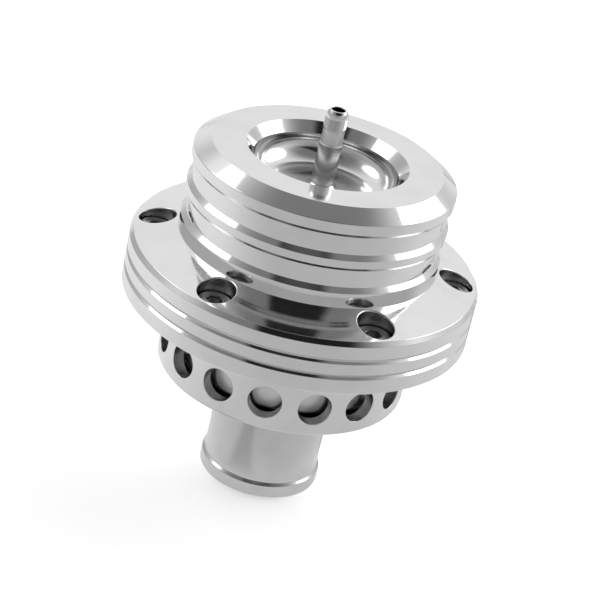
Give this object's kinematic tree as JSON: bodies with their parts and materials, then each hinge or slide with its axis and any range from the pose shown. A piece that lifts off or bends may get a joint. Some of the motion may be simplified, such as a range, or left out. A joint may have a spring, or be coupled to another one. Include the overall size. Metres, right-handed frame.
{
  "type": "blow off valve",
  "caption": "Blow off valve with a grooved polished cover, a flanged body ringed by vent holes, a sprung diaphragm piston, a hose spigot below and a vacuum nipple on top.",
  "frame": {"origin": "centre of the spigot's open end, on the surface that the valve stands on", "axes": "+Z along the valve's axis, from the spigot up to the vacuum nipple; +X through one cover screw"},
  "size_m": [0.074, 0.074, 0.0858],
  "materials": {
    "polished_aluminium": "mirror polished",
    "satin_aluminium": "satin, lightly brushed",
    "turned_aluminium": "fine turned",
    "nipple_metal": "polished with a satin groove",
    "screw_steel": "zinc plated",
    "spring_steel": "drawn wire",
    "black_rubber": "matt",
    "diaphragm_rubber": "fabric backed, matt",
    "white_plastic": "low friction, matt"
  },
  "bodies": {
    "housing": {"upper_cover": "polished_aluminium", "vacuum_nipple": "nipple_metal", "nipple_seal": "black_rubber", "cover_screws": "screw_steel", "vent_body": "polished_aluminium", "guide_ring": "white_plastic", "inlet_spigot": "satin_aluminium", "spigot_seal": "black_rubber", "diaphragm": "diaphragm_rubber", "return_spring": "spring_steel", "spring_pad": "white_plastic"},
    "valve": {"spring_cup": "turned_aluminium", "stem_washer": "screw_steel", "stem_nut": "screw_steel", "diaphragm_plate": "turned_aluminium", "valve_piston": "turned_aluminium", "face_seal": "black_rubber", "seal_retainer": "turned_aluminium", "stem_seal": "black_rubber", "stem_bolt": "screw_steel"}
  },
  "joints": [
    {"name": "valve_lift", "type": "slide", "parent": "housing", "child": "valve", "axis": [0, 0, 1], "range_m": [0, 0.008], "stiffness_N_per_m": 1400, "springref_m": -0.022, "deforming": ["return_spring", "diaphragm"]}
  ]
}
